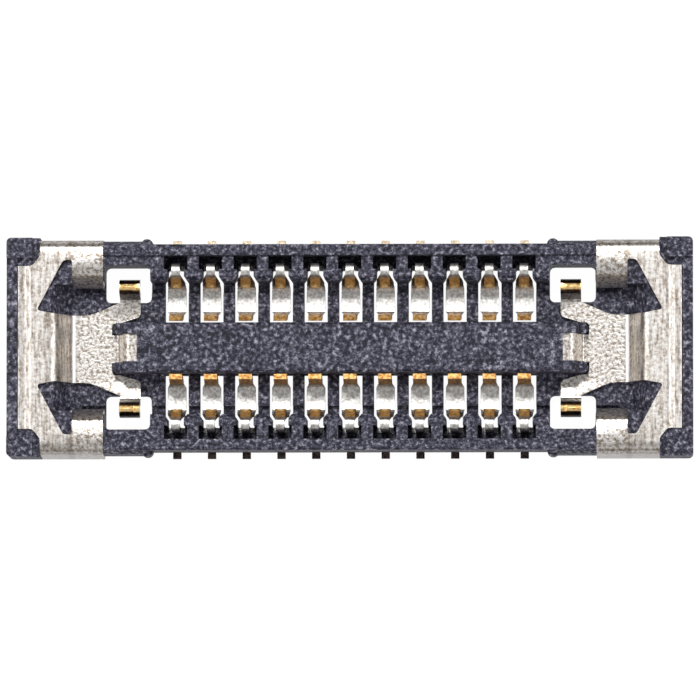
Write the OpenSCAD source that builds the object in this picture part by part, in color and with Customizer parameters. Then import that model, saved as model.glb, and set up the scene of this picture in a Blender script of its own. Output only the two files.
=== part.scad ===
// Low-profile receptacle of a board-to-board connector for a flexible printed circuit.
// Two rows of stamped contacts stand in a moulded housing. A folded metal shell covers each end.
// X runs along the rows, Y across them, and Z is up from the board, which is at zero.
// Sizes are in millimetres. In profiles, the first coordinate is the distance from the middle plane.

/* [Rows of contacts] */
// Contacts in each of the two rows
contacts_per_row = 11; // [2:1:30]
// Distance between neighbouring contacts of a row
pitch = 0.35; // [0.33:0.01:0.6]
// Height of the contacts' arches above the board
contact_h = 0.5; // [0.46:0.01:0.52]
// Gap between the tips of the spring arms and the island
tip_gap = 0.0155; // [0.01:0.0005:0.03]

/* [Contact strip] */
// Thickness of the contacts' metal
contact_t = 0.055; // [0.04:0.005:0.06]
// Height of the contact's lowest bend above the board
contact_lift = 0.035; // [0.02:0.005:0.05]
// Reach of the solder tail past the side wall
tail_out = 0.065; // [0.03:0.005:0.2]
// Bend radius of the solder tail at mid thickness
tail_r = 0.05; // [0.04:0.005:0.07]
// Width of the strip from the solder tail to the arch at the contact's top
tail_w = 0.084; // [0.06:0.002:0.12]
// Distance between the two legs of the arch at mid thickness
arch_span = 0.08; // [0.075:0.005:0.1]
// Bend radius of the arch at mid thickness
arch_r = 0.034; // [0.03:0.002:0.036]
// Width of the inner leg below its shoulders
leg_w = 0.168; // [0.12:0.002:0.18]
// Length of the shoulders in which the inner leg narrows to the arch, seen from above
shoulder_l = 0.065; // [0.04:0.005:0.07]
// How far the inner leg leans from its foot to the arch
leg_lean = 0.0825; // [0.05:0.0025:0.1]
// How much of that lean lies below the leg's knee
knee_lean = 0.01; // [0.005:0.005:0.03]
// Height of the knee below the contact points
knee_drop = 0.02; // [0.01:0.005:0.04]
// Bend radius of the knee at mid thickness
knee_r = 0.08; // [0.05:0.01:0.12]
// Width of the bottom of the U
cradle_w = 0.186; // [0.14:0.002:0.2]
// Length of the bottom of the U between mid thicknesses
cradle_l = 0.312; // [0.28:0.002:0.34]
// Bend radius of the U at mid thickness
cradle_r = 0.06; // [0.04:0.005:0.08]
// Length over which the strip widens to the bottom of the U
cradle_taper = 0.04; // [0.02:0.005:0.06]
// Width of the spring arm
arm_w = 0.134; // [0.1:0.002:0.16]
// How far the spring arm leans from its foot to its tip
arm_lean = 0.05; // [0.03:0.002:0.07]
// How far the spring arm bows inwards at its contact point
arm_bow = 0.006; // [0.002:0.001:0.01]
// Bend radius of that bow at mid thickness
arm_r = 0.12; // [0.08:0.01:0.2]
// Height of the tip of the spring arm above the board
tip_h = 0.46; // [0.42:0.01:0.5]
// Chamfer on the corners of the tip
tip_chamfer = 0.012; // [0.004:0.002:0.02]
// Width of the contact's base plate
base_w = 0.13; // [0.1:0.005:0.14]
// Width over the base plate's barbs, which is that of the slot in the ledge that grips them
grip_w = 0.16; // [0.15:0.002:0.18]
// Height of a barb on the base plate
barb_h = 0.04; // [0.02:0.005:0.05]
// Height of the base plate's upper edge above the board
base_h = 0.13; // [0.115:0.005:0.145]

/* [Contact points] */
// Height of the crests of the coined contact points above the board
point_h = 0.29; // [0.27:0.01:0.31]
// Width of the leg's contact point
point_w = 0.112; // [0.09:0.002:0.13]
// How far the leg's contact point stands out of the strip
point_out = 0.026; // [0.01:0.002:0.04]
// How far the arm's contact point, which is as wide as the arm, stands out of the strip
arm_point_out = 0.022; // [0.01:0.002:0.03]
// Radius of the crests of the coined contact points
point_r = 0.06; // [0.03:0.005:0.07]
// Length of the arm's contact point above its crest
point_rise = 0.1; // [0.06:0.005:0.12]
// Length of the leg's contact point above its crest
leg_point_rise = 0.135; // [0.08:0.005:0.14]
// Length of both contact points below their crests
point_fall = 0.1; // [0.06:0.005:0.11]
// Chamfer on the lower corners of the leg's contact point
point_chamfer = 0.03; // [0.01:0.005:0.035]

/* [Housing] */
// Width of the island between the rows
island_w = 0.5; // [0.4:0.01:0.7]
// Height of the island
island_h = 0.52; // [0.5:0.01:0.56]
// Bevel along the island's upper edges
island_bevel = 0.02; // [0.005:0.005:0.04]
// Height of the island's middle field below its ends
field_drop = 0.008; // [0.004:0.002:0.02]
// Length of each plain end of the island, from its end wall to the middle field
field_end = 0.26; // [0.1:0.01:0.4]
// Thickness of the floor
floor_h = 0.13; // [0.11:0.01:0.16]
// Thickness of the floor in the groove beside the teeth
groove_floor = 0.06; // [0.04:0.01:0.08]
// Width of the groove beside the teeth
groove_w = 0.1; // [0.06:0.01:0.12]
// Width of the floor slot under each contact
slot_w = 0.234; // [0.2:0.002:0.25]
// Ledge between the island and the floor slots
slot_ledge = 0.012; // [0.005:0.001:0.02]
// Width of the gap between the wide heads of the teeth
throat_w = 0.17; // [0.16:0.002:0.18]
// Width of the pocket between the stems of the teeth
pocket_w = 0.236; // [0.225:0.002:0.26]
// Distance of the teeth behind the foot of the inner leg
tooth_setback = 0.015; // [0.005:0.005:0.04]
// Height of the teeth
tooth_h = 0.5; // [0.46:0.01:0.52]
// Bevel on the teeth, at their inner corners
tooth_bevel = 0.045; // [0.03:0.005:0.06]
// Width of the ledge in the pocket between the contact and the side wall
ledge_w = 0.08; // [0.04:0.01:0.12]
// Height of the ledge
ledge_h = 0.17; // [0.15:0.01:0.22]
// Clearance between the teeth's stems and the front of the arch's outer leg
stem_ease = 0.005; // [0.003:0.001:0.01]
// Clearance of the solder tail in its notch, on each side
tail_ease = 0.006; // [0.002:0.001:0.02]
// Thickness of the side wall
wall_t = 0.11; // [0.08:0.01:0.16]
// Height of the side wall
wall_h = 0.54; // [0.53:0.01:0.57]
// Bevel along the side wall's outer edge
wall_bevel = 0.02; // [0.005:0.005:0.04]
// Thickness that the side walls gain beside the end windows
cheek_out = 0.035; // [0.02:0.001:0.05]
// Height of the bevel on that thicker wall
cheek_bevel = 0.12; // [0.05:0.01:0.2]
// Radius of the gate marks on the side walls
gate_r = 0.06; // [0.04:0.005:0.065]

/* [Ends of the housing] */
// Distance from the last contact to the window in the floor
window_gap = 0.255; // [0.2:0.005:0.4]
// Length of the window in the floor
window_l = 0.462; // [0.4:0.002:0.6]
// Width of the window in the floor
window_w = 0.356; // [0.33:0.002:0.36]
// Distance of the window from the groove's inner side towards the island
window_reach = 0.1; // [0.08:0.01:0.12]
// Corner radius of the window
window_r = 0.05; // [0.02:0.005:0.08]
// Height of the raised corners
corner_h = 0.58; // [0.57:0.01:0.65]
// Length of a raised corner along the connector
corner_l = 0.26; // [0.2:0.01:0.3]
// Width of a raised corner across the connector
corner_w = 0.2; // [0.12:0.01:0.24]
// Height of the lower step round a raised corner
step_h = 0.505; // [0.46:0.005:0.52]
// Radius of the housing's outer corners
corner_r = 0.045; // [0.02:0.005:0.08]
// Thickness of the lip that closes each end
lip_t = 0.106; // [0.06:0.002:0.16]
// Height of the lip that closes each end
lip_h = 0.53; // [0.5:0.01:0.56]
// Length of the island's horns
horn_l = 0.25; // [0.2:0.01:0.3]
// Corner radius of the horns, seen from above
horn_r = 0.05; // [0.02:0.005:0.05]
// Height of the horns' rounded noses
nose_h = 0.37; // [0.3:0.01:0.44]
// Length of the horns' rounded noses
nose_l = 0.08; // [0.06:0.01:0.1]
// Radius of the noses' upper edge
nose_r = 0.035; // [0.01:0.005:0.035]
// Length of the slope from a nose up to the island
nose_slope = 0.04; // [0.02:0.005:0.05]

/* [End shells] */
// Thickness of the shells' metal
shell_t = 0.06; // [0.04:0.005:0.07]
// Height of the shell's roof above the board
shell_h = 0.55; // [0.54:0.01:0.57]
// Gap between the window and the shell's roof, along the connector
roof_gap = 0.01; // [0.005:0.005:0.03]
// Length of the roof beside the floor plate
roof_l = 0.312; // [0.25:0.002:0.4]
// Width of the roof from the foot of the side flap to the bend of the inner guide
roof_w = 0.335; // [0.3:0.005:0.36]
// Length of the side flap, from the roof's inner end towards the corner
flap_l = 0.633; // [0.6:0.001:0.65]
// How far the side flap leans outwards from the roof to its foot
flap_lean = 0.025; // [0.01:0.005:0.05]
// Bend radius between roof and side flap, at mid thickness
flap_r = 0.08; // [0.05:0.01:0.1]
// Bend radius between roof and inner guide, at mid thickness
guide_r = 0.035; // [0.032:0.001:0.05]
// How far the inner guide leans inwards
guide_lean = 0.1; // [0.05:0.005:0.12]
// Height of the inner guide's lower edge above the board
guide_h = 0.25; // [0.2:0.01:0.3]
// Distance from the end of that roof to the foot of the ramp
ramp_gap = 0.03; // [0.01:0.005:0.05]
// Horizontal run of the ramp between crown and floor plate
ramp_run = 0.145; // [0.1:0.005:0.2]
// Bend radius at the top of the ramp, at mid thickness
ramp_r = 0.1; // [0.06:0.01:0.12]
// Bend radius at the foot of the ramp, at mid thickness
ramp_foot_r = 0.07; // [0.04:0.01:0.1]
// Width of the ramp
ramp_w = 0.68; // [0.6:0.01:0.74]
// Length of the crown between the ramp and the outer strip
crown_l = 0.235; // [0.22:0.005:0.3]
// Width that the shell gains from the ramp to the crown, on each side
crown_flare = 0.035; // [0.01:0.005:0.05]
// Length of the slope from the crown down to the outer strip
crown_slope = 0.06; // [0.04:0.005:0.08]
// Depth of the outer strip's valley below the crown
strip_drop = 0.045; // [0.02:0.005:0.05]
// Height that the outer strip gains from its valley to the end lip
strip_rise = 0.022; // [0.005:0.001:0.025]
// Length of the outer strip beside the end lip
strip_l = 0.081; // [0.06:0.001:0.12]
// Bend radius of the outer strip, at mid thickness
strip_r = 0.05; // [0.035:0.005:0.06]
// Inset of the outer strip from the side flap's foot
strip_inset = 0.28; // [0.25:0.005:0.31]
// Width of the curved corner between outer strip and side flap
edge_w = 0.1; // [0.06:0.01:0.12]
// Length of that curved corner
edge_l = 0.08; // [0.04:0.01:0.1]
// Radius of that curved corner
edge_r = 0.06; // [0.02:0.01:0.08]

/* [Triangular windows] */
// Length of the window's short side, at its apex
triangle_l = 0.088; // [0.06:0.002:0.12]
// Distance of the apex from the bend of the inner guide
triangle_reach = 0.142; // [0.1:0.002:0.16]
// Distance of the window's outer corner from the end of the crown
triangle_gap = 0.055; // [0.05:0.001:0.08]
// Radius of the apex
triangle_r = 0.045; // [0.02:0.005:0.05]
// Radius of the window's other corners
triangle_corner_r = 0.02; // [0.01:0.005:0.03]

/* [Floor plate, fingers and tongue] */
// Clearance between the shell's plate and the horns
horn_ease = 0.012; // [0.005:0.001:0.03]
// Distance of the plate's corner beside the horn from the island's side
plate_out = 0.06; // [0.04:0.005:0.1]
// Length of the notch's edge along the horn
notch_l = 0.08; // [0.05:0.005:0.1]
// Radius of the plate's corners
plate_r = 0.05; // [0.02:0.005:0.06]
// Length over which the plate narrows from the finger towards the ramp
waist_l = 0.3; // [0.25:0.01:0.34]
// Radius of the edge where it narrows
waist_r = 0.4; // [0.2:0.05:0.6]
// Width of the spring finger in the window
finger_w = 0.206; // [0.15:0.002:0.24]
// Gap from the window's inner end to the spring finger
finger_gap = 0.11; // [0.08:0.005:0.14]
// Gap from the spring finger's end to the window's side
finger_end_gap = 0.13; // [0.1:0.005:0.15]
// Height of the spring finger's crest above the board
finger_h = 0.4; // [0.34:0.01:0.45]
// Height of the spring finger's free end above the board, at mid thickness
finger_end_h = 0.24; // [0.2:0.01:0.3]
// Horizontal run of the spring finger's rise
finger_rise = 0.05; // [0.04:0.005:0.07]
// Length of the spring finger's crest
finger_crest = 0.07; // [0.06:0.005:0.08]
// Horizontal run of the spring finger's free end
finger_drop = 0.02; // [0.01:0.005:0.03]
// Bend radius at the foot of the spring finger, at mid thickness
finger_r = 0.036; // [0.032:0.002:0.06]
// Width of the contact point on the spring finger
finger_point_w = 0.125; // [0.08:0.005:0.15]
// Length of that contact point
finger_point_l = 0.088; // [0.06:0.002:0.1]
// Distance of that contact point from the finger's outer side
finger_point_inset = 0.015; // [0.01:0.005:0.04]
// Width of the tongue that enters the island
tongue_w = 0.28; // [0.2:0.01:0.3]
// Height of the tongue's upper face above the board
tongue_h = 0.475; // [0.42:0.005:0.48]
// Distance of the tongue's foot from the finger's outer side
tongue_gap = 0.012; // [0.005:0.001:0.03]
// Horizontal run of the tongue's rise
tongue_run = 0.07; // [0.05:0.005:0.1]
// Flat of the tongue in front of the island
tongue_flat = 0.1; // [0.08:0.005:0.15]
// Length of the tongue that the island holds
tongue_in = 0.13; // [0.08:0.01:0.2]
// Bend radius of the tongue, at mid thickness
tongue_r = 0.05; // [0.035:0.005:0.07]

/* [Smoothness] */
// Largest gap between a bend and the flats that stand for it
bend_gap = 0.0022; // [0.0005:0.0001:0.004]
// Flats in the curve of the contact point on a spring finger
point_flats = 4; // [3:1:8]

/* [Hidden] */
ROWS = ["back", "front"];
function two_digits(n) = str(n < 10 ? "0" : "", n);
function contact_name(row, n) = str("contact_", row, "_", two_digits(n));
// Overshoot of a cutting body past the face that it cuts
over = 0.1;
// How far a body runs into the one that it is joined to
sunk = 0.015;

// Places across the connector, from the middle plane outwards
island_y = island_w / 2;
tip_y = island_y + tip_gap + contact_t / 2;
arm_foot_y = tip_y + arm_lean;
leg_foot_y = arm_foot_y + cradle_l;
arch_inner_y = leg_foot_y + leg_lean;
base_y = arch_inner_y + arch_span;
slot_y = island_y + slot_ledge;
tooth_y = leg_foot_y + tooth_setback;
groove_y = tooth_y - groove_w;
pocket_y = base_y - contact_t / 2 - stem_ease;
ledge_y = base_y + contact_t / 2;
ridge_y = ledge_y + ledge_w;
wall_y = ridge_y + wall_t;
tail_y = wall_y + tail_out;
cheek_y = wall_y + cheek_out;
window_y = groove_y - window_reach;
window_far_y = window_y + window_w;

// Heights of the contact at mid thickness
cradle_z = contact_lift + contact_t / 2;
arch_z = contact_h - contact_t / 2;
knee_z = point_h - knee_drop;

// Places along the connector, from the middle plane outwards
last_x = (contacts_per_row - 1) / 2 * pitch;
window_x = last_x + window_gap;
window_far_x = window_x + window_l;
roof_x = window_far_x + roof_gap;
roof_far_x = roof_x + roof_l;
flap_far_x = roof_x + flap_l;
ramp_foot_x = roof_far_x + ramp_gap;
plate_end_x = ramp_foot_x - ramp_foot_r;
ramp_top_x = ramp_foot_x + ramp_run;
crown_x = ramp_top_x + crown_l;
strip_x = crown_x + crown_slope;
strip_end_x = strip_x + strip_l;
end_x = strip_end_x + lip_t;
finger_x = window_x + finger_gap;
finger_far_x = finger_x + finger_w;
finger_point_far_x = finger_far_x - finger_point_inset;
tongue_foot_x = finger_far_x - tongue_gap;
tongue_top_x = tongue_foot_x - tongue_run;
island_x = tongue_top_x - tongue_flat;
tongue_end_x = island_x - tongue_in;
horn_x = island_x + horn_l;
notch_x = horn_x + horn_ease;
triangle_x = crown_x - triangle_gap;

// Heights of the shell at mid thickness, and of the housing under its roof
roof_z = shell_h - shell_t / 2;
plate_z = floor_h + shell_t / 2;
strip_z = roof_z - strip_drop;
tongue_z = tongue_h - shell_t / 2;
finger_z = finger_h - shell_t / 2;
seat_h = shell_h - shell_t;

// Places of the shell across the connector, and the flat of its crown between two bends
flap_angle = atan(flap_lean / roof_z);
flap_y = tail_y - shell_t / 2 / cos(flap_angle);
flap_in_y = flap_y - shell_t / 2 / cos(flap_angle);
flap_top_y = flap_y - flap_lean;
roof_out_y = flap_top_y - flap_r * tan(45 - flap_angle / 2);
roof_in_y = flap_y - roof_w;
guide_y = roof_in_y - guide_lean;
roof_edge_y = roof_in_y + guide_r;
strip_y = tail_y - strip_inset;
apex_y = roof_in_y + triangle_reach;
ramp_flat_x = ramp_top_x + ramp_r;
crown_flat_x = crown_x - strip_r;
finger_end_y = window_far_y - finger_end_gap - shell_t / 2;
finger_crest_y = finger_end_y - finger_drop - finger_crest;
finger_bend_y = finger_crest_y - finger_rise;

BLACK = [0.2, 0.2, 0.24];
NICKEL = [0.84, 0.8, 0.74];
GOLD = [0.8, 0.6, 0.3];

// Unit vector along v, and the same vector turned a quarter turn to the left
function unit(v) = v / norm(v);
function left_of(v) = [-v.y, v.x];

// Angle from direction a to direction b, between -180 and 180 degrees
function turn(a, b) = atan2(a.x * b.y - a.y * b.x, a * b);

// Angle that one flat of a bend of radius r stands for
function flat_angle(r) = 2 * acos(max(0, 1 - bend_gap / r));

// Points that round the corner at b, between a and c, to radius r or as far as their runs allow
function rounded(a, b, c, r) =
    let (
        back = unit(a - b),
        ahead = unit(c - b),
        half = acos(back * ahead) / 2,
        run = min(r / tan(half), 0.49 * min(norm(a - b), norm(c - b))),
        centre = b + unit(back + ahead) * run / cos(half),
        from = b + back * run - centre,
        swept = turn(from, b + ahead * run - centre),
        flats = max(1, ceil(abs(swept) / flat_angle(r) - 0.01))
    )
    [for (i = [0 : flats])
        let (angle = swept * i / flats)
        centre + [
            from.x * cos(angle) - from.y * sin(angle),
            from.x * sin(angle) + from.y * cos(angle)
        ]
    ];

// A line of straight runs through points, with radii at its inner corners
function bent(points, radii) = concat(
    [points[0]],
    [for (i = [1 : len(points) - 2])
        each rounded(points[i - 1], points[i], points[i + 1], radii[i - 1])],
    [points[len(points) - 1]]
);

// The line moved sideways to its left by d, with its bends kept parallel
function beside(line, d) = [
    for (i = [0 : len(line) - 1])
        let (
            before = unit(line[max(i, 1)] - line[max(i, 1) - 1]),
            after = unit(line[min(i + 1, len(line) - 1)] - line[min(i, len(line) - 2)]),
            normal = unit(left_of(before) + left_of(after))
        )
        line[i] + normal * d / (normal * left_of(before))
];

function reversed(list) = [for (i = [len(list) - 1 : -1 : 0]) list[i]];

// Outline of a strip of thickness t along the line
function strip(line, t) = concat(beside(line, t / 2), reversed(beside(line, -t / 2)));

// Outline closed by the mirror image of its points in the second axis
function both_sides(points) = concat(points, [for (p = reversed(points)) [-p.x, p.y]]);

// Lays a profile across the connector and draws it out along X
module lengthwise(from, to) {
    translate([from, 0, 0])
        rotate([90, 0, 90])
            linear_extrude(to - from) children();
}

// Stands a profile up along the connector and draws it out across Y
module crosswise(from, to) {
    translate([0, to, 0])
        rotate([90, 0, 0])
            linear_extrude(to - from) children();
}

module block(low, high) {
    translate(low) cube(high - low);
}

module at_both_sides() {
    children();
    mirror([0, 1, 0]) children();
}

module at_both_ends() {
    children();
    mirror([1, 0, 0]) children();
}

module at_each_contact() {
    for (n = [1 : contacts_per_row])
        translate([(n - 1) * pitch - last_x, 0, 0]) children();
}

// Contact: places of the inner leg and of the spring arm at height z, at mid thickness
function leg_y(z) = lookup(z, [
    [cradle_z, leg_foot_y],
    [knee_z, leg_foot_y + knee_lean],
    [arch_z, arch_inner_y]
]);
arm_point_y = tip_y + arm_lean * (tip_h - point_h) / (tip_h - cradle_z) - arm_bow;
function arm_y(z) = lookup(z, [[cradle_z, arm_foot_y], [point_h, arm_point_y], [tip_h, tip_y]]);

// Contact: side view of the bent strip at mid thickness, from tail to tip
function contact_line() = bent(
    [
        [tail_y, contact_t / 2],
        [base_y, contact_t / 2],
        [base_y, arch_z],
        [arch_inner_y, arch_z],
        [leg_y(knee_z), knee_z],
        [leg_foot_y, cradle_z],
        [arm_foot_y, cradle_z],
        [arm_point_y, point_h],
        [tip_y, tip_h]
    ],
    [tail_r, arch_r, arch_r, knee_r, cradle_r, cradle_r, arm_r]
);

// Contact: half of its plan, which sets the width of each stretch
function contact_plan() = [
    [0, tip_y - contact_t],
    [arm_w / 2 - tip_chamfer, tip_y - contact_t],
    [arm_w / 2, tip_y - contact_t + tip_chamfer],
    [arm_w / 2, arm_foot_y],
    [cradle_w / 2, arm_foot_y + cradle_taper],
    [cradle_w / 2, leg_foot_y - cradle_taper],
    [leg_w / 2, leg_foot_y],
    [leg_w / 2, arch_inner_y - shoulder_l],
    [tail_w / 2, arch_inner_y],
    [tail_w / 2, tail_y],
    [0, tail_y]
];

// Contact: half of the base plate seen from the front, with a barb that bites the housing
function base_outline() = [
    [0, contact_t],
    [base_w / 2, contact_t],
    [grip_w / 2, contact_t + barb_h],
    [base_w / 2, contact_t + barb_h],
    [base_w / 2, base_h],
    [0, base_h]
];

// Contact: coined point of width w that swells out of the strip between top and foot
module contact_point(w, top, crest, foot) {
    inside = [sunk * sign(top.x - crest.x), 0];
    lengthwise(-w / 2, w / 2)
        polygon(concat(bent([top, crest, foot], [point_r]), [foot + inside, top + inside]));
}

// Contact: half of the front view of the leg's contact point, from the arch's width down
function leg_point_outline() =
    let (low = point_h - point_fall, high = point_h + leg_point_rise)
    [
        [0, low],
        [point_w / 2 - point_chamfer, low],
        [point_w / 2, low + point_chamfer],
        [point_w / 2, point_h],
        [tail_w / 2, high],
        [0, high]
    ];

module contact() {
    skin = contact_t / 2 - sunk / 2;
    color(NICKEL) {
        intersection() {
            lengthwise(-pocket_w, pocket_w) polygon(strip(contact_line(), contact_t));
            linear_extrude(contact_h + over) polygon(both_sides(contact_plan()));
        }
        crosswise(base_y - contact_t / 2, base_y + contact_t / 2)
            polygon(both_sides(base_outline()));
    }
    color(GOLD) {
        intersection() {
            contact_point(
                point_w,
                [leg_y(point_h + leg_point_rise) - skin, point_h + leg_point_rise],
                [leg_foot_y - contact_t / 2 - point_out, point_h],
                [leg_y(point_h - point_fall) - skin, point_h - point_fall]
            );
            crosswise(island_y, arch_inner_y) polygon(both_sides(leg_point_outline()));
        }
        contact_point(
            arm_w,
            [arm_y(point_h + point_rise) + skin, point_h + point_rise],
            [arm_point_y + contact_t / 2 + arm_point_out, point_h],
            [arm_y(point_h - point_fall) + skin, point_h - point_fall]
        );
    }
}

// End shell: profile along the connector at mid thickness, down to the floor plate and on to foot
function ramp_corners() = [
    [strip_end_x, strip_z + strip_rise],
    [strip_x, strip_z],
    [crown_x, roof_z],
    [ramp_top_x, roof_z],
    [ramp_foot_x, plate_z]
];
function ramp_radii() = [strip_r, strip_r, ramp_r, ramp_foot_r];
function ramp_line(foot) = bent(concat(ramp_corners(), [[foot, plate_z]]), ramp_radii());

// End shell: the same profile with the tongue that rises into the island
function shell_line() = bent(
    concat(ramp_corners(), [
        [tongue_foot_x, plate_z],
        [tongue_top_x, tongue_z],
        [tongue_end_x, tongue_z]
    ]),
    concat(ramp_radii(), [tongue_r, tongue_r])
);

// End shell: profile across the connector at mid thickness, from below the side flap to the guide
function side_line() = bent(
    [
        [flap_y + over * tan(flap_angle), -over],
        [flap_top_y, roof_z],
        [roof_in_y, roof_z],
        [guide_y, guide_h]
    ],
    [flap_r, guide_r]
);

// End shell: profile of the spring finger across the connector at mid thickness
function finger_line() = bent(
    [
        [window_y - shell_t, plate_z],
        [finger_bend_y, plate_z],
        [finger_crest_y, finger_z],
        [finger_crest_y + finger_crest, finger_z],
        [finger_end_y, finger_end_h]
    ],
    [finger_r, finger_r, finger_r]
);

// Edge between the shell and the corner of the housing, from the flap to the outer strip
function corner_edge() = bent(
    [
        [flap_far_x, roof_out_y],
        [flap_far_x, strip_y + edge_w],
        [flap_far_x + edge_l, strip_y],
        [strip_end_x, strip_y]
    ],
    [edge_r, edge_r]
);

// Half of the plan of the roof without its openings
function roof_plan() = concat(
    [[roof_x, 0], [roof_x, roof_out_y]],
    corner_edge(),
    [[strip_end_x, 0]]
);

// Half width of the shell on the ramp and the crown, up to the triangular window's corner
function flank_y(x) = ramp_w / 2 + crown_flare * max(x - ramp_top_x, 0) / (triangle_x - ramp_top_x);

// Opening of the roof over the floor plate, with the triangular window at its outer end
function roof_opening() = concat(
    [[roof_x - over, -over], [roof_x - over, roof_edge_y]],
    bent(
        [
            [roof_far_x, roof_edge_y],
            [roof_far_x, apex_y],
            [roof_far_x + triangle_l, apex_y],
            [triangle_x, flank_y(triangle_x)],
            [ramp_flat_x, flank_y(ramp_flat_x)]
        ],
        [triangle_corner_r, triangle_r, triangle_corner_r]
    ),
    [[ramp_flat_x, -over]]
);

// Half of the plan of tongue and ramp
function ramp_plan() =
    let (last = ramp_flat_x + sunk)
    [
        [tongue_end_x, 0],
        [tongue_end_x, tongue_w / 2],
        [notch_x, tongue_w / 2],
        [notch_x, ramp_w / 2],
        [ramp_top_x, ramp_w / 2],
        [last, flank_y(last)],
        [last, 0]
    ];

// Half of the plan of the floor plate, from the horn's notch round the foot of the finger
function plate_plan() = concat(
    [[notch_x, 0]],
    bent(
        [
            [notch_x, tongue_w / 2],
            [notch_x, island_y + horn_ease],
            [notch_x - notch_l, island_y + horn_ease],
            [finger_x, island_y + horn_ease + plate_out],
            [finger_x, window_y]
        ],
        [plate_r, plate_r, plate_r]
    ),
    bent(
        [
            [finger_far_x, window_y],
            [finger_far_x + waist_l, ramp_w / 2],
            [plate_end_x, ramp_w / 2]
        ],
        [waist_r]
    ),
    [[plate_end_x, 0]]
);

module end_shell() {
    color(NICKEL)
        at_both_sides() {
            // Roof and crown
            translate([0, 0, seat_h])
                linear_extrude(shell_t)
                    intersection() {
                        difference() {
                            polygon(roof_plan());
                            polygon(roof_opening());
                        }
                        square([crown_flat_x + sunk, tail_y]);
                    }
            // Outer strip
            intersection() {
                crosswise(0, tail_y) polygon(strip(shell_line(), shell_t));
                linear_extrude(corner_h) polygon(roof_plan());
                block([crown_flat_x, 0, 0], [end_x, tail_y, corner_h]);
            }
            // Ramp and tongue
            intersection() {
                crosswise(0, tail_y) polygon(strip(shell_line(), shell_t));
                linear_extrude(corner_h) polygon(ramp_plan());
            }
            translate([0, 0, floor_h]) linear_extrude(shell_t) polygon(plate_plan());
            side_flap();
            inner_guide();
            finger();
        }
}

// The part of the side profile outside the roof's outer bend, over the flap's whole length
module side_flap() {
    intersection() {
        lengthwise(roof_x, flap_far_x) polygon(strip(side_line(), shell_t));
        block([roof_x - over, roof_out_y - sunk, 0], [end_x, tail_y + over, corner_h]);
    }
}

// The part of the side profile inside the roof's inner bend, beside the floor plate only
module inner_guide() {
    intersection() {
        lengthwise(roof_x, roof_far_x) polygon(strip(side_line(), shell_t));
        block([roof_x - over, 0, 0], [end_x, roof_edge_y + sunk, corner_h]);
    }
}

module finger() {
    middle = finger_crest_y + finger_crest / 2;
    swell = point_out + sunk;
    lengthwise(finger_x, finger_far_x) polygon(strip(finger_line(), shell_t));
    color(GOLD)
        lengthwise(finger_point_far_x - finger_point_w, finger_point_far_x)
            polygon([
                for (i = [-point_flats : 2 : point_flats])
                    let (angle = 90 * i / point_flats)
                    [
                        middle + finger_point_l / 2 * sin(angle),
                        finger_h - sunk + swell * cos(angle)
                    ]
            ]);
}

// Housing: section through walls, teeth, grooves and floor, half of it
function body_section() = [
    [0, 0],
    [wall_y, 0],
    [wall_y, wall_h - wall_bevel],
    [wall_y - wall_bevel, wall_h],
    [ridge_y, wall_h],
    [ridge_y, tooth_h],
    [tooth_y + tooth_bevel, tooth_h],
    [tooth_y, tooth_h - tooth_bevel],
    [tooth_y, groove_floor],
    [groove_y, groove_floor],
    [groove_y, floor_h],
    [0, floor_h]
];

// Housing: line on which the shell's flap, roof and guide lie, from the board up
function under_line() =
    let (line = beside(side_line(), shell_t / 2))
    concat([[flap_in_y, 0]], [for (i = [1 : len(line) - 1]) line[i]]);

// Housing: section under the shell's roof, half of it
function roof_section() =
    let (under = under_line(), foot = under[len(under) - 1])
    concat(
        [[0, 0]],
        under,
        [[foot.x, groove_floor], [groove_y, groove_floor], [groove_y, floor_h], [0, floor_h]]
    );

// Housing: section beside the triangular windows, half of it
function corner_section() = concat(
    [[guide_y, 0]],
    [for (p = under_line()) if (p.x > roof_out_y - sunk / 2) p],
    [[guide_y, seat_h]]
);

// Housing: section of the island at height h, half of it
function island_section(h) = [
    [0, 0],
    [island_y, 0],
    [island_y, h - island_bevel],
    [island_y - island_bevel, h],
    [0, h]
];

// Housing: profile of an end along the connector, which the shell's ramp lies on. It starts far enough
// inside the ramp's foot to hold the whole of that bend.
function ramp_profile() =
    let (foot = ramp_foot_x - 1.6 * ramp_foot_r)
    concat(
        [[foot, 0], [end_x, 0], [end_x, lip_h], [strip_end_x, lip_h]],
        beside(ramp_line(foot), shell_t / 2)
    );

// Housing: side view of a horn, with its rounded nose
function horn_profile() = concat(
    [[island_x - over, 0], [horn_x, 0]],
    bent(
        [
            [horn_x, floor_h],
            [horn_x, nose_h],
            [horn_x - nose_l, nose_h],
            [horn_x - nose_l - nose_slope, island_h],
            [island_x - over, island_h]
        ],
        [nose_r, island_bevel, island_bevel]
    )
);

module island() {
    lengthwise(-island_x, island_x) polygon(both_sides(island_section(island_h - field_drop)));
    at_both_ends() {
        lengthwise(island_x - field_end, island_x) polygon(both_sides(island_section(island_h)));
        at_both_sides() horn();
    }
}

module horn() {
    inner_y = tongue_w / 2;
    intersection() {
        crosswise(inner_y, island_y) polygon(horn_profile());
        linear_extrude(corner_h)
            polygon(bent(
                [
                    [island_x - over, island_y],
                    [horn_x, island_y],
                    [horn_x, inner_y],
                    [island_x - over, inner_y]
                ],
                [horn_r, horn_r]
            ));
    }
}

// Thicker wall beside a window, with its bevelled outer edge and a gate mark
module cheek() {
    lengthwise(window_x, roof_x)
        polygon([
            [ridge_y, 0],
            [cheek_y, 0],
            [cheek_y, wall_h - cheek_bevel],
            [wall_y - wall_bevel, wall_h],
            [ridge_y, wall_h]
        ]);
    translate([window_x + cheek_out, wall_y, floor_h])
        cylinder(h = wall_h - 2 * floor_h, r = gate_r);
}

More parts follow.
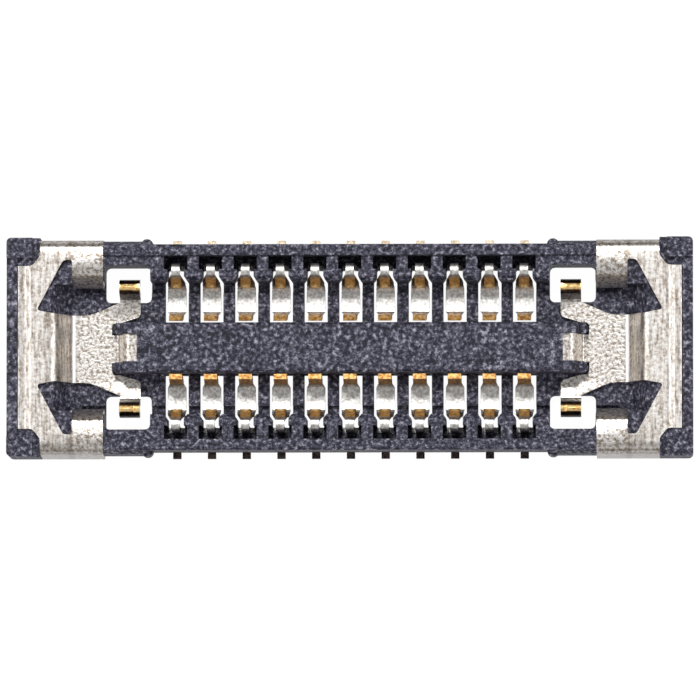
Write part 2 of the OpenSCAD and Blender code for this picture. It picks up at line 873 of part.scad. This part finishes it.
// One corner of the housing: side wall, lower step, end lip and raised cap
module corner() {
    lengthwise(roof_far_x, flap_far_x) polygon(corner_section());
    intersection() {
        union() {
            linear_extrude(step_h)
                polygon(concat(
                    [[flap_far_x, tail_y]], corner_edge(), [[end_x, strip_y], [end_x, tail_y]]
                ));
            block([strip_end_x, 0, 0], [end_x, tail_y, lip_h]);
            block([end_x - corner_l, tail_y - corner_w, 0], [end_x, tail_y, corner_h]);
        }
        linear_extrude(corner_h)
            polygon(bent(
                [
                    [flap_far_x - over, 0],
                    [flap_far_x - over, tail_y],
                    [end_x, tail_y],
                    [end_x, 0]
                ],
                [0.001, corner_r]
            ));
    }
}

module housing_end() {
    crosswise(-roof_out_y, roof_out_y) polygon(ramp_profile());
    lengthwise(roof_x, ramp_foot_x) polygon(both_sides(roof_section()));
    at_both_sides() {
        cheek();
        corner();
    }
}

// Everything cut out of the housing round one contact
module contact_cavity() {
    translate([0, 0, -over])
        linear_extrude(wall_h + 2 * over)
            polygon(both_sides([
                [0, slot_y],
                [slot_w / 2, slot_y],
                [slot_w / 2, tooth_y],
                [throat_w / 2, tooth_y + tooth_bevel],
                [throat_w / 2, pocket_y],
                [grip_w / 2, pocket_y],
                [grip_w / 2, ledge_y],
                [0, ledge_y]
            ]));
    block([-pocket_w / 2, pocket_y, ledge_h], [pocket_w / 2, ridge_y, wall_h + over]);
    block(
        [-tail_w / 2 - tail_ease, ledge_y - sunk, -over],
        [tail_w / 2 + tail_ease, wall_y + over, tail_r + contact_t / 2]
    );
}

// Opening through the floor round the shell's spring finger
module window() {
    middle = [(window_x + window_far_x) / 2, (window_y + window_far_y) / 2];
    half = [window_l / 2, window_w / 2];
    translate([middle.x, middle.y, -over])
        linear_extrude(wall_h + 2 * over)
            polygon(bent(
                [
                    [0, -half.y],
                    [half.x, -half.y],
                    [half.x, half.y],
                    [-half.x, half.y],
                    [-half.x, -half.y],
                    [0, -half.y]
                ],
                [window_r, window_r, window_r, window_r]
            ));
}

module housing() {
    color(BLACK)
        difference() {
            union() {
                lengthwise(-roof_x, roof_x) polygon(both_sides(body_section()));
                island();
                at_both_ends() housing_end();
            }
            at_each_contact() at_both_sides() contact_cavity();
            at_both_ends() {
                at_both_sides() window();
                block(
                    [tongue_end_x, -tongue_w / 2, tongue_h - shell_t],
                    [island_x + over, tongue_w / 2, tongue_h]
                );
            }
        }
}

housing();
mirror([1, 0, 0]) end_shell();  // end_shell_left
end_shell();  // end_shell_right
for (n = [1 : contacts_per_row]) {
    translate([(n - 1) * pitch - last_x, 0, 0]) contact();
    translate([(n - 1) * pitch - last_x, 0, 0]) mirror([0, 1, 0]) contact();
}
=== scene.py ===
# %% [markdown]
# A receptacle for a flexible printed circuit is a few millimetres of black moulding, with a row of
# stamped contacts down each side and a folded metal shell over each end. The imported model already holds
# every piece at its real size, so this script gives the pieces their finish, and adds the light, the
# floor and the camera.

# %% Load the frame
import math

import bmesh
import bpy
from mathutils import Matrix, Vector


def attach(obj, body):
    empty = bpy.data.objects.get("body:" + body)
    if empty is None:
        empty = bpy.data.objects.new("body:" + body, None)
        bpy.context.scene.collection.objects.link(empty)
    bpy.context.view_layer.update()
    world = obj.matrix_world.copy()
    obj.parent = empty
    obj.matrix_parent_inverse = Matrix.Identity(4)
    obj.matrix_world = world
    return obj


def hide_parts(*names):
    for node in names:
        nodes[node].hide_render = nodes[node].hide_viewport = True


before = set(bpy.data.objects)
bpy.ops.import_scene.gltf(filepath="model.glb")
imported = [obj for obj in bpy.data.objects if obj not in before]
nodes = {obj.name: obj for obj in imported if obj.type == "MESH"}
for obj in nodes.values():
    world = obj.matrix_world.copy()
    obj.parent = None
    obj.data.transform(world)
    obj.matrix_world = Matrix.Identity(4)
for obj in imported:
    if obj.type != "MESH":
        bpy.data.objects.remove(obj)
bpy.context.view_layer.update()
bpy.context.scene.view_settings.view_transform = "Standard"
MM = 0.001
print("pieces in the frame:", len(nodes))

# %% [markdown]
# Every material reads Object coordinates, which are metres. An image on a UV map would also work, but a
# pattern made by nodes needs no unwrapping and stays sharp at any distance. The whole connector is 0.007
# m long, so a Mapping node turns metres into millimetres first, and each pattern is then set in spots to
# the millimetre.

# %% Helpers for materials
def new_material(name):
    material = bpy.data.materials.new(name)
    material.use_nodes = True
    shader = material.node_tree.nodes["Principled BSDF"]
    return material, material.node_tree, shader


def millimetres(tree, stretch=(1, 1, 1)):
    """Object coordinates in millimetres, stretched where a pattern has a direction."""
    place = tree.nodes.new("ShaderNodeTexCoord")
    mapping = tree.nodes.new("ShaderNodeMapping")
    mapping.inputs["Scale"].default_value = [s / MM for s in stretch]
    tree.links.new(place.outputs["Object"], mapping.inputs["Vector"])
    return mapping.outputs["Vector"]


def spots(tree, place, per_mm, detail, roughness):
    """Noise with about so many spots to the millimetre."""
    noise = tree.nodes.new("ShaderNodeTexNoise")
    noise.inputs["Scale"].default_value = per_mm
    noise.inputs["Detail"].default_value = detail
    noise.inputs["Roughness"].default_value = roughness
    tree.links.new(place, noise.inputs["Vector"])
    return noise.outputs["Fac"]


def ramp(tree, value, stops):
    """Turns a value into colours, from a list of positions and colours."""
    node = tree.nodes.new("ShaderNodeValToRGB")
    elements = node.color_ramp.elements
    while len(elements) < len(stops):
        elements.new(0.5)
    for element, (position, colour) in zip(elements, stops):
        element.position = position
        element.color = (*colour, 1.0)
    tree.links.new(value, node.inputs["Fac"])
    return node.outputs["Color"]


def grey(level):
    return (level, level, level)


def bump(tree, shader, height, strength, distance_mm):
    node = tree.nodes.new("ShaderNodeBump")
    node.inputs["Strength"].default_value = strength
    node.inputs["Distance"].default_value = distance_mm * MM
    tree.links.new(height, node.inputs["Height"])
    tree.links.new(node.outputs["Normal"], shader.inputs["Normal"])


# %% [markdown]
# Housings as thin as this are usually moulded from a liquid-crystal polymer filled with short glass
# fibre. Close up the plastic isn't flat black: fibre ends and flow marks leave pale grey specks of a few
# hundredths of a millimetre on a bluish black ground. One dark colour would look like paint, and specks
# made as geometry would be far too many. So one noise drives a ramp from bluish black to a few pale
# greys, and the same noise roughens the surface.

# %% Housing plastic
PLASTIC = [
    (0.38, (0.005, 0.005, 0.012)),
    (0.45, (0.019, 0.019, 0.033)),
    (0.51, (0.046, 0.045, 0.070)),
    (0.56, (0.089, 0.087, 0.121)),
    (0.61, (0.170, 0.166, 0.210)),
    (0.68, (0.36, 0.35, 0.40)),
]


def make_plastic():
    material, tree, shader = new_material("glass_filled_plastic")
    specks = spots(tree, millimetres(tree), per_mm=24, detail=3.0, roughness=0.7)
    tree.links.new(ramp(tree, specks, PLASTIC), shader.inputs["Base Color"])
    shader.inputs["Roughness"].default_value = 0.65
    shader.inputs["Specular IOR Level"].default_value = 0.3
    bump(tree, shader, specks, strength=0.5, distance_mm=0.010)
    return material


plastic = make_plastic()
print("made", plastic.name)

# %% [markdown]
# Some finishes belong to one zone of a piece only, such as the gold on a contact point. Material slots
# could only follow whole faces, and a painted mask would need an image. Here a zone is made of bands of
# the distance from a middle plane or of the height above the board, so one formula serves all the
# contacts and both shells. Each band is written as its lower limit, its upper limit and the softness of
# both, in millimetres, and bands are multiplied where they cross.

# %% Helpers for zones
def combined(tree, operation, a, b):
    """One maths node, each of its inputs a number or the output of another node."""
    node = tree.nodes.new("ShaderNodeMath")
    node.operation = operation
    for value, socket in zip((a, b), node.inputs):
        if isinstance(value, float):
            socket.default_value = value
        else:
            tree.links.new(value, socket)
    return node.outputs["Value"]


def times(tree, a, b):
    return combined(tree, "MULTIPLY", a, b)


def between(tree, value, band):
    """One where the value is inside the band, and zero outside."""
    low, high, soft = band
    parts = []
    for edge, sign in ((low, 1), (high, -1)):
        node = tree.nodes.new("ShaderNodeMapRange")
        node.interpolation_type = "SMOOTHSTEP"
        node.inputs["From Min"].default_value = edge - soft * sign
        node.inputs["From Max"].default_value = edge + soft * sign
        tree.links.new(value, node.inputs["Value"])
        parts.append(node.outputs["Result"])
    return times(tree, parts[0], parts[1])


def axes_of(tree, place):
    """The distances from the two middle planes, and then Y and Z as they are."""
    axes = tree.nodes.new("ShaderNodeSeparateXYZ")
    tree.links.new(place, axes.inputs["Vector"])
    x, y, z = (axes.outputs[letter] for letter in "XYZ")
    return combined(tree, "ABSOLUTE", x, 0.0), combined(tree, "ABSOLUTE", y, 0.0), y, z


def blended(tree, share, a, b):
    """Colour a where the share is zero and colour b where it is one."""
    mix = tree.nodes.new("ShaderNodeMix")
    mix.data_type = "RGBA"
    tree.links.new(share, mix.inputs["Factor"])
    tree.links.new(a, mix.inputs["A"])
    tree.links.new(b, mix.inputs["B"])
    return mix.outputs["Result"]


def metal_less(tree, shader, share):
    """Metal all over, less by the share where the surface also scatters light."""
    tree.links.new(combined(tree, "SUBTRACT", 1.0, share), shader.inputs["Metallic"])


# %% [markdown]
# Gold shows in three colours on this connector: a bright gold, which is the gilt bar on the shells'
# fingers and also a painted highlight on the crest of each coined point, a deeper gold round that
# highlight, and a brown gold that is painted shade on the spring arms. A dark brown is painted shade
# beside the coined points and on the tips of the fingers. Each could be one flat colour, but a ramp over
# the metal's grain keeps the plating from looking painted.

# %% Gold, and browns for painted shade
# Bright gold: the gilt bars on the shells' fingers, and a painted highlight on the crest of each coined
# point.
GOLD_AND_PAINTED_HIGHLIGHT = [
    (0.36, (0.66, 0.36, 0.11)),
    (0.50, (0.96, 0.64, 0.25)),
    (0.64, (1.0, 0.78, 0.42)),
]
DEEP_GOLD = [(0.36, (0.50, 0.24, 0.06)), (0.62, (0.86, 0.50, 0.17))]
# Brown gold: painted shade on the spring arms.
PAINTED_SHADE_GOLD = [(0.38, (0.24, 0.11, 0.03)), (0.62, (0.56, 0.34, 0.13))]
# Dark brown: painted shade beside the coined points and on the tips of the shells' fingers.
PAINTED_SHADE_BROWN = [(0.40, (0.05, 0.03, 0.02)), (0.60, (0.13, 0.08, 0.045))]
# The bright gold also paints the highlight on the crest of each coined point.
print("colours in the rubbed gold:", len(GOLD_AND_PAINTED_HIGHLIGHT))

# %% [markdown]
# The shells are a copper alloy plated with nickel. The plating is matt, with a fine grain like orange
# peel, and where the strip is folded over the ends the folding has drawn the grain out along the fold. A
# near white line along the foot of each ramp is a painted highlight. The spring fingers are painted dark
# at their tips as shade, with a gilt bar where the plug's shell touches, and the side flaps are painted
# darker than the roof as shade. An anisotropic shader could draw the streaks, but it needs tangents along
# the fold, so the noise itself is stretched instead.

# %% Nickel
FOLDS_X = (2.80, 3.60, 0.06)
RAMP_FOOT_X = (2.768, 2.806, 0.006)
RAMP_Y = (-0.1, 0.36, 0.01)
FINGERS_X = (2.0, 2.42, 0.01)
FINGER_TIPS_Y = (0.545, 1.0, 0.008)
FINGER_BARS_Y = (0.582, 0.645, 0.008)
FLAPS_Y = (1.05, 1.30, 0.02)

SHELL_SILVER = [
    (0.36, (0.28, 0.235, 0.19)),
    (0.44, (0.48, 0.435, 0.39)),
    (0.51, (0.65, 0.61, 0.565)),
    (0.60, (0.80, 0.775, 0.745)),
]
# Darker silver: painted shade on the side flaps.
PAINTED_SHADE_SILVER = [(0.40, (0.22, 0.20, 0.18)), (0.60, (0.46, 0.43, 0.41))]
# Near white: a painted highlight along the foot of each ramp.
PAINTED_HIGHLIGHT_WHITE = [(0.36, grey(0.86)), (0.60, grey(0.98))]
HIGHLIGHT_LINE_SCATTER = 0.5
STREAKS = 0.55


def nickel_grain(tree, place, folded):
    """Grain with round spots, which gives way to streaks along Y where the strip is folded."""
    grain = spots(tree, place, per_mm=32, detail=2.0, roughness=0.6)
    streaks = spots(tree, millimetres(tree, stretch=(1, 0.16, 1)), per_mm=34, detail=2.0, roughness=0.6)
    grain_share = combined(tree, "MAXIMUM", combined(tree, "SUBTRACT", 1.0, folded), 1 - STREAKS)
    streak_share = times(tree, folded, STREAKS)
    return combined(tree, "ADD", times(tree, grain, grain_share), times(tree, streaks, streak_share))


def make_nickel():
    material, tree, shader = new_material("nickel_plate")
    place = millimetres(tree)
    from_middle, across, _, _ = axes_of(tree, place)
    pattern = nickel_grain(tree, place, between(tree, from_middle, FOLDS_X))
    fingers = between(tree, from_middle, FINGERS_X)
    # Painted shade on the tips of the fingers.
    tips = times(tree, fingers, between(tree, across, FINGER_TIPS_Y))
    bars = times(tree, fingers, between(tree, across, FINGER_BARS_Y))
    # The side flaps are painted darker as shade.
    flaps = between(tree, across, FLAPS_Y)
    # A painted highlight along the foot of each ramp.
    ramp_foot_highlight = times(tree, between(tree, from_middle, RAMP_FOOT_X), between(tree, across, RAMP_Y))
    colour = ramp(tree, pattern, SHELL_SILVER)
    # Painted shade on the flaps and the finger tips, real gilt on the bars, and a painted highlight at the
    # ramp foot.
    for zone, stops in ((flaps, PAINTED_SHADE_SILVER), (tips, PAINTED_SHADE_BROWN), (bars, GOLD_AND_PAINTED_HIGHLIGHT), (ramp_foot_highlight, PAINTED_HIGHLIGHT_WHITE)):
        colour = blended(tree, zone, colour, ramp(tree, pattern, stops))
    tree.links.new(colour, shader.inputs["Base Color"])
    # Less metal at the painted highlight lets its pale colour show.
    metal_less(tree, shader, times(tree, ramp_foot_highlight, HIGHLIGHT_LINE_SCATTER))
    shader.inputs["Roughness"].default_value = 0.34
    bump(tree, shader, pattern, strength=0.5, distance_mm=0.005)
    return material


nickel = make_nickel()
print("made", nickel.name)

# %% [markdown]
# The contacts are the same alloy, with gold only where they touch: on the leg's coined point, with a
# painted highlight on its crest, and on the spring arm, where the gold is darkened to brown as painted
# shade. Beside the coined point the leg is painted dark as shade. The back row's tails are pale, and the
# front row's are painted dark as shade. Each contact could have a material of its own, but all of them
# have one section and one pitch. So one material serves them all, and a maths node folds the distance
# along the row to and fro, which gives the distance from the middle of the nearest contact.

# %% Contact metal
PITCH_MM = 0.35
COINED_WIDTH = (-0.05, 0.052, 0.004)
# Where the painted highlight sits on each coined point.
CREST_WIDTH = (-0.05, 0.030, 0.014)
CREST_HEIGHT = (0.26, 0.335, 0.022)
RAISED_HEIGHT = (0.15, 0.49, 0.01)
LEG_Y = (0.50, 0.80, 0.008)
LEG_GOLD_Y = (0.40, 0.703, 0.020)
ARM_Y = (0.20, 0.50, 0.008)
BACK_TAILS_Y = (0.90, 1.20, 0.01)
FRONT_TAILS_Y = (-1.20, -0.90, 0.01)

CONTACT_SILVER = [
    (0.36, (0.40, 0.375, 0.35)),
    (0.50, (0.57, 0.56, 0.535)),
    (0.62, (0.74, 0.73, 0.71)),
]
PALE_TAIL = [(0.40, (0.46, 0.36, 0.24)), (0.60, (0.66, 0.57, 0.44))]
# Dark: painted shade on the front row's tails.
PAINTED_SHADE_TAIL = [(0.40, (0.035, 0.028, 0.026)), (0.60, (0.09, 0.07, 0.06))]
COINED_SCATTER = 0.35
CREST_HIGHLIGHT_SCATTER = 0.4


def make_contact_metal():
    material, tree, shader = new_material("contact_plate")
    place = millimetres(tree)
    from_middle, across, y, height = axes_of(tree, place)
    from_centre = combined(tree, "PINGPONG", from_middle, PITCH_MM / 2)
    raised = between(tree, height, RAISED_HEIGHT)
    legs = times(tree, times(tree, raised, between(tree, across, LEG_Y)), between(tree, across, LEG_GOLD_Y))
    # The spring arms' gold is darkened to brown as painted shade.
    arms = times(tree, between(tree, across, ARM_Y), raised)
    coined = between(tree, from_centre, COINED_WIDTH)
    # A painted highlight on the crest of each coined point, in the bright gold.
    crest_highlight = times(tree, between(tree, from_centre, CREST_WIDTH), between(tree, height, CREST_HEIGHT))
    grain = spots(tree, place, per_mm=32, detail=2.0, roughness=0.6)
    gold = blended(tree, crest_highlight, ramp(tree, grain, DEEP_GOLD), ramp(tree, grain, GOLD_AND_PAINTED_HIGHLIGHT))
    # Beside the coined point the leg is painted dark brown as shade.
    leg_point = blended(tree, coined, ramp(tree, grain, PAINTED_SHADE_BROWN), gold)
    colour = blended(tree, legs, ramp(tree, grain, CONTACT_SILVER), leg_point)
    for zone, stops in (
        (arms, PAINTED_SHADE_GOLD),
        (between(tree, y, BACK_TAILS_Y), PALE_TAIL),
        # The front row's tails are painted dark as shade.
        (between(tree, y, FRONT_TAILS_Y), PAINTED_SHADE_TAIL),
    ):
        colour = blended(tree, zone, colour, ramp(tree, grain, stops))
    tree.links.new(colour, shader.inputs["Base Color"])
    # Less metal at the painted highlight lets its pale colour show.
    scattered = combined(tree, "ADD", COINED_SCATTER, times(tree, crest_highlight, CREST_HIGHLIGHT_SCATTER))
    metal_less(tree, shader, times(tree, times(tree, legs, coined), scattered))
    shader.inputs["Roughness"].default_value = 0.44
    bump(tree, shader, grain, strength=0.4, distance_mm=0.004)
    return material


contact_metal = make_contact_metal()
print("made", contact_metal.name)

# %% [markdown]
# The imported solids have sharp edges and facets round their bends, which speckled plastic hides and
# bright metal shows. The metal could be modelled anew, but a copy of each solid keeps its size and every
# cut. So the housing is shown by its own solid, and each metal piece by a copy whose flat triangles are
# joined into faces. The copy gets a hair of a bevel on every sharp edge, which catches the light, and
# the facets of its bends are shaded smooth. Weighted normals keep that smooth shading off the large flat
# faces.

# %% Housing, and softened copies of the metal
SHARP = math.radians(40)
FLAT = math.radians(1)
WELD = 1e-8
SHELL_EDGE_MM = 0.010
CONTACT_EDGE_MM = 0.004


def softened(name, material, edge_mm):
    shape = bmesh.new()
    shape.from_mesh(nodes[name].data)
    bmesh.ops.remove_doubles(shape, verts=shape.verts, dist=WELD)
    bmesh.ops.dissolve_limit(shape, angle_limit=FLAT, verts=shape.verts, edges=shape.edges)
    mesh = bpy.data.meshes.new(name + "_soft")
    shape.to_mesh(mesh)
    shape.free()
    mesh.materials.clear()
    mesh.materials.append(material)
    mesh.shade_smooth()
    mesh.set_sharp_from_angle(angle=SHARP)
    piece = bpy.data.objects.new(name + "_soft", mesh)
    bpy.context.scene.collection.objects.link(piece)
    bevel = piece.modifiers.new("soft_edges", "BEVEL")
    bevel.width = edge_mm * MM
    bevel.segments = 2
    bevel.limit_method = "ANGLE"
    bevel.angle_limit = SHARP
    even = piece.modifiers.new("even_shading", "WEIGHTED_NORMAL")
    even.keep_sharp = True
    even.weight = 100
    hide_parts(name)
    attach(piece, "root")
    return piece


nodes["housing"].data.materials.clear()
nodes["housing"].data.materials.append(plastic)

pieces = []
for name in nodes:
    if name.startswith("end_shell"):
        pieces.append(softened(name, nickel, SHELL_EDGE_MM))
    elif name.startswith("contact"):
        pieces.append(softened(name, contact_metal, CONTACT_EDGE_MM))
print("softened", len(pieces), "pieces")

# %% [markdown]
# The connector rests on a plain white floor, which shows through the slots of the housing. More light
# would turn the floor white, and the metal with it. So the floor shows its own white to the eye and in
# the metal, and a small part of it takes the light, so that a soft shadow stays.

# %% Floor
FLOOR_WHITE = 1.03
FLOOR_SHARE = 0.95
FLOOR_DROP_MM = 0.002
FLOOR_HALF = 0.5


def make_floor_white():
    material, tree, shader = new_material("white_floor")
    shader.inputs["Base Color"].default_value = (0.9, 0.9, 0.9, 1)
    shader.inputs["Roughness"].default_value = 0.9
    rays = tree.nodes.new("ShaderNodeLightPath")
    seen = combined(tree, "MAXIMUM", rays.outputs["Is Camera Ray"], rays.outputs["Is Glossy Ray"])
    seen = combined(tree, "MAXIMUM", seen, rays.outputs["Is Transmission Ray"])
    white = tree.nodes.new("ShaderNodeEmission")
    white.inputs["Color"].default_value = (*grey(FLOOR_WHITE), 1)
    mix = tree.nodes.new("ShaderNodeMixShader")
    tree.links.new(times(tree, seen, FLOOR_SHARE), mix.inputs["Fac"])
    tree.links.new(shader.outputs["BSDF"], mix.inputs[1])
    tree.links.new(white.outputs["Emission"], mix.inputs[2])
    tree.links.new(mix.outputs["Shader"], tree.nodes["Material Output"].inputs["Surface"])
    return material


def make_floor():
    mesh = bpy.data.meshes.new("floor")
    shape = bmesh.new()
    bmesh.ops.create_grid(shape, x_segments=1, y_segments=1, size=FLOOR_HALF)
    bmesh.ops.translate(shape, verts=shape.verts, vec=(0, 0, -FLOOR_DROP_MM * MM))
    shape.to_mesh(mesh)
    shape.free()
    mesh.materials.append(make_floor_white())
    floor = bpy.data.objects.new("floor", mesh)
    bpy.context.scene.collection.objects.link(floor)
    return floor


floor = make_floor()
print("floor at z =", round(floor.data.vertices[0].co.z, 7))

# %% [markdown]
# The light is a plain studio's: one lamp high behind the back row, a soft box to the left and one to the
# right, a fainter card in front, and pale card overhead, in a dim and slightly warm room. The shells and
# contacts are mirrors more than anything else, so these bright and dim parts are what shows their bends.
# Area lamps could stand for the boxes, but painted into the sky they are as far away as a studio's are
# from so small a thing. The bands below limit the parts of a direction along X, Y and Z, and a part of 1
# points straight along its axis.

# %% Light
KEY_TILT = math.radians(26)
KEY_SIDEWAYS = 0.05
KEY_STRENGTH = 1.7
KEY_SPREAD = math.radians(8)
ROOM = [
    (0.0, (0.11, 0.085, 0.07)),
    (0.35, (0.13, 0.11, 0.10)),
    (0.62, (0.18, 0.17, 0.165)),
    (0.86, (0.32, 0.32, 0.33)),
    (1.0, (0.40, 0.40, 0.41)),
]
BOX_SIDEWAYS = (0.48, 0.93, 0.05)
BOX_HEIGHT = (0.33, 0.88, 0.05)
BOX_DEPTH = (-0.45, 0.45, 0.08)
BOX_STRENGTH = 2.0
CARD_DEPTH = (-0.97, -0.45, 0.08)
CARD_HEIGHT = (0.25, 0.85, 0.08)
CARD_SHARE = 0.2


def make_lamp(name, towards, strength, spread):
    lamp = bpy.data.lights.new(name, "SUN")
    lamp.energy = strength
    lamp.angle = spread
    thing = bpy.data.objects.new(name, lamp)
    thing.rotation_euler = Vector(towards).to_track_quat("-Z", "Y").to_euler()
    bpy.context.scene.collection.objects.link(thing)
    return thing


def make_sky():
    world = bpy.data.worlds.new("studio")
    bpy.context.scene.world = world
    world.use_nodes = True
    tree = world.node_tree
    place = tree.nodes.new("ShaderNodeTexCoord")
    sideways, _, y, height = axes_of(tree, place.outputs["Generated"])
    boxes = times(tree, between(tree, sideways, BOX_SIDEWAYS), between(tree, height, BOX_HEIGHT))
    boxes = times(tree, boxes, between(tree, y, BOX_DEPTH))
    card = times(tree, between(tree, y, CARD_DEPTH), between(tree, height, CARD_HEIGHT))
    lit = combined(tree, "ADD", boxes, times(tree, card, CARD_SHARE))
    room = tree.nodes["Background"]
    tree.links.new(ramp(tree, height, ROOM), room.inputs["Color"])
    lights = tree.nodes.new("ShaderNodeBackground")
    lights.inputs["Strength"].default_value = BOX_STRENGTH
    tree.links.new(ramp(tree, lit, [(0.0, grey(0.0)), (1.0, grey(1.0))]), lights.inputs["Color"])
    both = tree.nodes.new("ShaderNodeAddShader")
    tree.links.new(room.outputs["Background"], both.inputs[0])
    tree.links.new(lights.outputs["Background"], both.inputs[1])
    tree.links.new(both.outputs["Shader"], tree.nodes["World Output"].inputs["Surface"])


key_direction = (KEY_SIDEWAYS, -math.sin(KEY_TILT), -math.cos(KEY_TILT))
key = make_lamp("key", key_direction, KEY_STRENGTH, KEY_SPREAD)
make_sky()
print("key lamp strength", key.data.energy)

# %% [markdown]
# The photograph looks down on the connector, tilted by less than four degrees towards the front row and
# by less than two towards the right, and its lines stay parallel. An orthographic camera would keep them
# so too, but a long lens far away is what a photographer would use. The picture's scale is set at about
# the height of the contacts' tips.

# %% Camera
PIXELS_PER_MM = 99.6
PICTURE_PIXELS = 700
SENSOR_WIDTH = 36
LENS = 600
FRONT_TILT = math.radians(3.6)
RIGHT_TILT = math.radians(1.7)
TARGET_X_MM = -0.011
SCALE_HEIGHT_MM = 0.45


def camera_axes(back):
    """Right, up and back of a camera that keeps the rows level in the picture."""
    up = (Vector((0, 1, 0)) - back * back.y).normalized()
    right = up.cross(back)
    return right, up, back


camera = bpy.data.objects.new("camera", bpy.data.cameras.new("camera"))
bpy.context.scene.collection.objects.link(camera)
bpy.context.scene.camera = camera
camera.data.sensor_width = SENSOR_WIDTH
camera.data.lens = LENS
width = PICTURE_PIXELS / PIXELS_PER_MM * MM
distance = width * LENS / SENSOR_WIDTH
target = Vector((TARGET_X_MM, 0.0, 0.0)) * MM
back = Vector((math.tan(RIGHT_TILT), -math.tan(FRONT_TILT), 1)).normalized()
camera.location = target + back * (distance + SCALE_HEIGHT_MM * MM)
camera.rotation_euler = Matrix(camera_axes(back)).transposed().to_euler()
camera.data.clip_start = 0.001
camera.data.clip_end = 2
print("camera distance in mm:", round(distance / MM, 1))

# %% [markdown]
# The looks don't change the size.

# %% Finish
print("finished")
